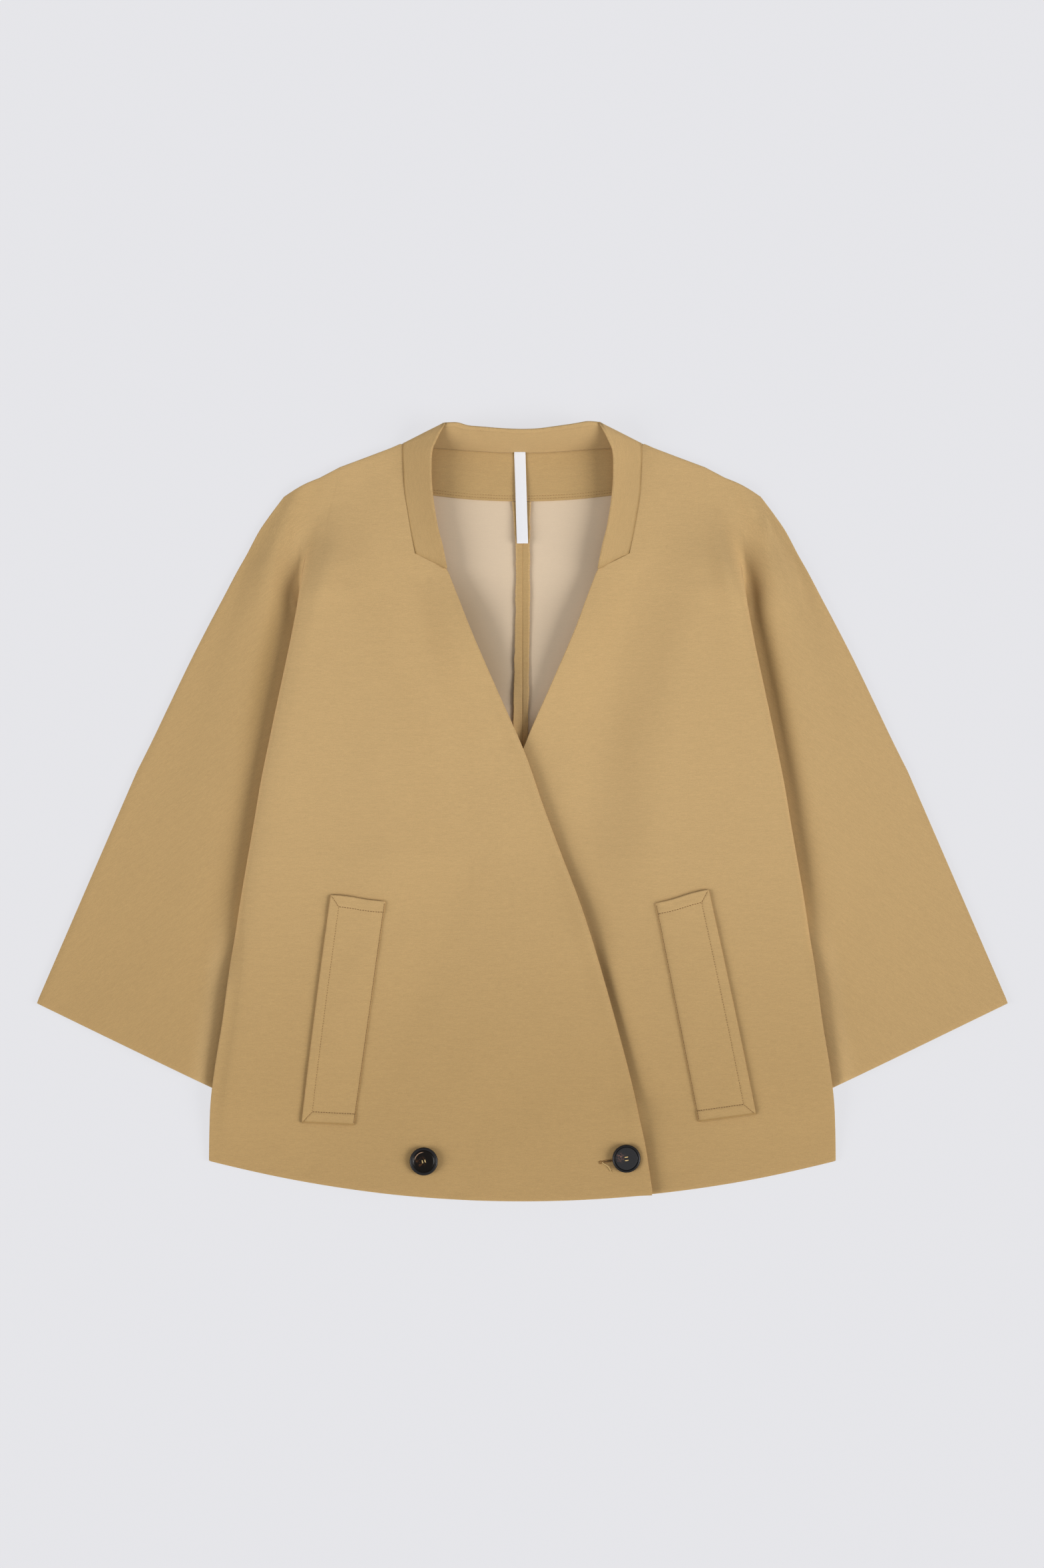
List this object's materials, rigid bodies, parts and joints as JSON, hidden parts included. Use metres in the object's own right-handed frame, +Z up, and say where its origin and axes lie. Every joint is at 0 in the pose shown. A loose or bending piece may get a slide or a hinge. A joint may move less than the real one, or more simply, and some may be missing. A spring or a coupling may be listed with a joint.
{
  "type": "double-breasted jacket",
  "caption": "Short, boxy wrap-over jacket with wide grown-on sleeves, a narrow collar band, welt pockets and horn buttons, laid flat on its back.",
  "frame": {"origin": "on the surface it lies on, under the middle of its bounding box", "axes": "+X towards the wearer's left sleeve, +Y towards the collar, +Z up out of the surface, through the front"},
  "size_m": [0.8306, 0.6682, 0.0275],
  "materials": {
    "face_cloth": "camel double-faced coating with a fine horizontal slub",
    "reverse_cloth": "paler reverse side of the same coating",
    "label_tape": "plain white woven tape",
    "dark_horn": "polished near-black horn with brown streaks"
  },
  "bodies": {
    "root": {"front_right": "face_cloth", "front_left": "face_cloth", "back_right": "face_cloth", "back_left": "face_cloth", "collar_front_right": "face_cloth", "collar_front_left": "face_cloth", "collar_back_stand": "face_cloth", "back_neck_facing": "face_cloth", "seam_allowance_left": "face_cloth", "seam_allowance_right": "face_cloth", "label_tape": "label_tape", "pocket_welt_right": "face_cloth", "pocket_welt_left": "face_cloth", "button_outer": "dark_horn", "button_fastened": "dark_horn"}
  },
  "joints": []
}
